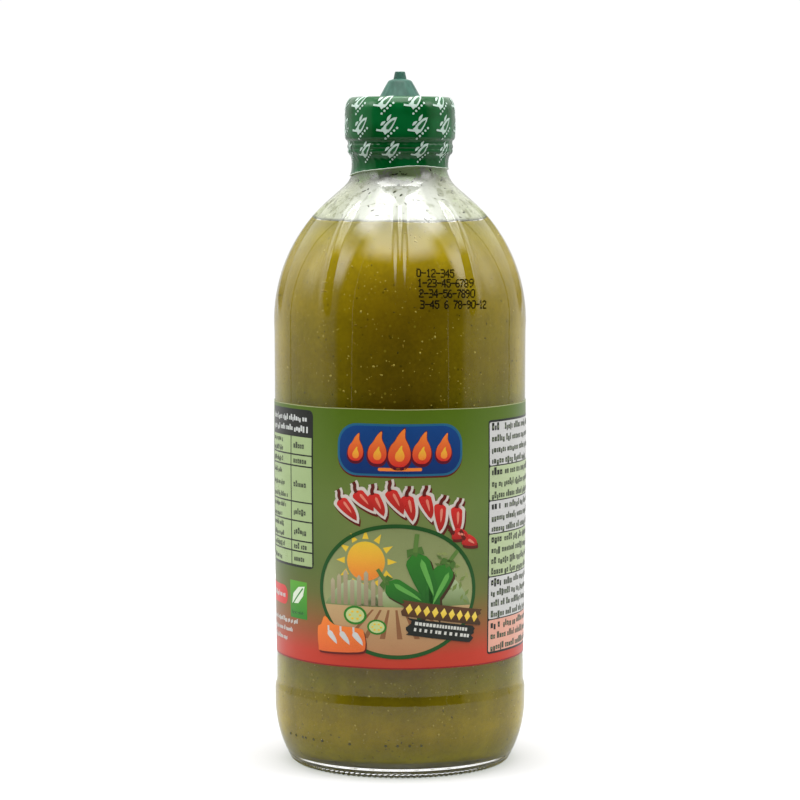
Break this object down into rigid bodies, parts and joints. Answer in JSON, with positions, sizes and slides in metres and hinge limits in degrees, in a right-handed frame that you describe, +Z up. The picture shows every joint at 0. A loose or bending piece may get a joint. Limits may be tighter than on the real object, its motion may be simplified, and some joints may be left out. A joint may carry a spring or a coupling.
{
  "type": "hot sauce bottle",
  "caption": "Ribbed clear glass bottle filled with green pepper sauce, with a wrap label, a spout cap and a shrink band over cap and neck.",
  "frame": {"origin": "centre of the foot, on the surface that the bottle stands on", "axes": "+Z up along the bottle's axis, with the label's front facing -Y and +X to its right"},
  "size_m": [0.0712, 0.0712, 0.1944],
  "materials": {
    "clear_glass": "clear moulded glass, faint green in its thick base",
    "pepper_sauce": "thick olive green sauce with seeds and flecks",
    "printed_label": "coated paper, printed green over red",
    "cap_plastic": "satin moulded plastic",
    "shrink_film": "glossy printed shrink film"
  },
  "bodies": {
    "root": {"bottle": "clear_glass", "sauce": "pepper_sauce", "label": "printed_label", "cap": "cap_plastic", "sleeve": "shrink_film"}
  },
  "joints": []
}
